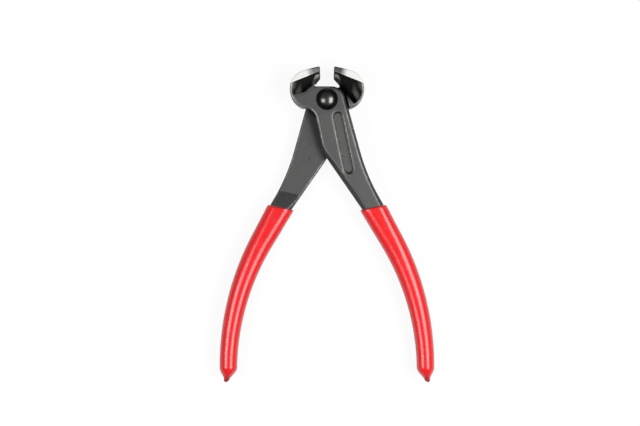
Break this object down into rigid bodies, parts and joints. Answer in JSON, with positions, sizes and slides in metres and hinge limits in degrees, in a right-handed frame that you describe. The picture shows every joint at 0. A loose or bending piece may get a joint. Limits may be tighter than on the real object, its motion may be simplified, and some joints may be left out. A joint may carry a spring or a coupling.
{
  "type": "end cutting nippers",
  "caption": "End cutting nippers: hooked jaws with edges across the tool's end, blackened levers lapped on a domed rivet, and bowed handles in dipped grips.",
  "frame": {"origin": "on the rivet's axis, at the back face that the tool lies on", "axes": "+Z out of the front face along the rivet, +Y from the rivet towards the cutting edges, +X towards the front lever's handle"},
  "size_m": [0.1286, 0.1885, 0.0234],
  "materials": {
    "blackened_steel": "forged, shot-blasted and blackened, satin, with ground bright blades",
    "rivet_steel": "turned and blackened, smooth semi-gloss",
    "dipped_vinyl": "red dip-moulded soft vinyl, glossy"
  },
  "bodies": {
    "front": {"front_lever": "blackened_steel", "pivot_rivet": "rivet_steel", "front_grip": "dipped_vinyl"},
    "rear": {"rear_lever": "blackened_steel", "rear_grip": "dipped_vinyl"}
  },
  "joints": [
    {"name": "jaw_hinge", "type": "hinge", "parent": "front", "child": "rear", "pos_m": [0, 0, 0.01], "axis": [0, 0, 1], "range_deg": [-3, 24]}
  ]
}
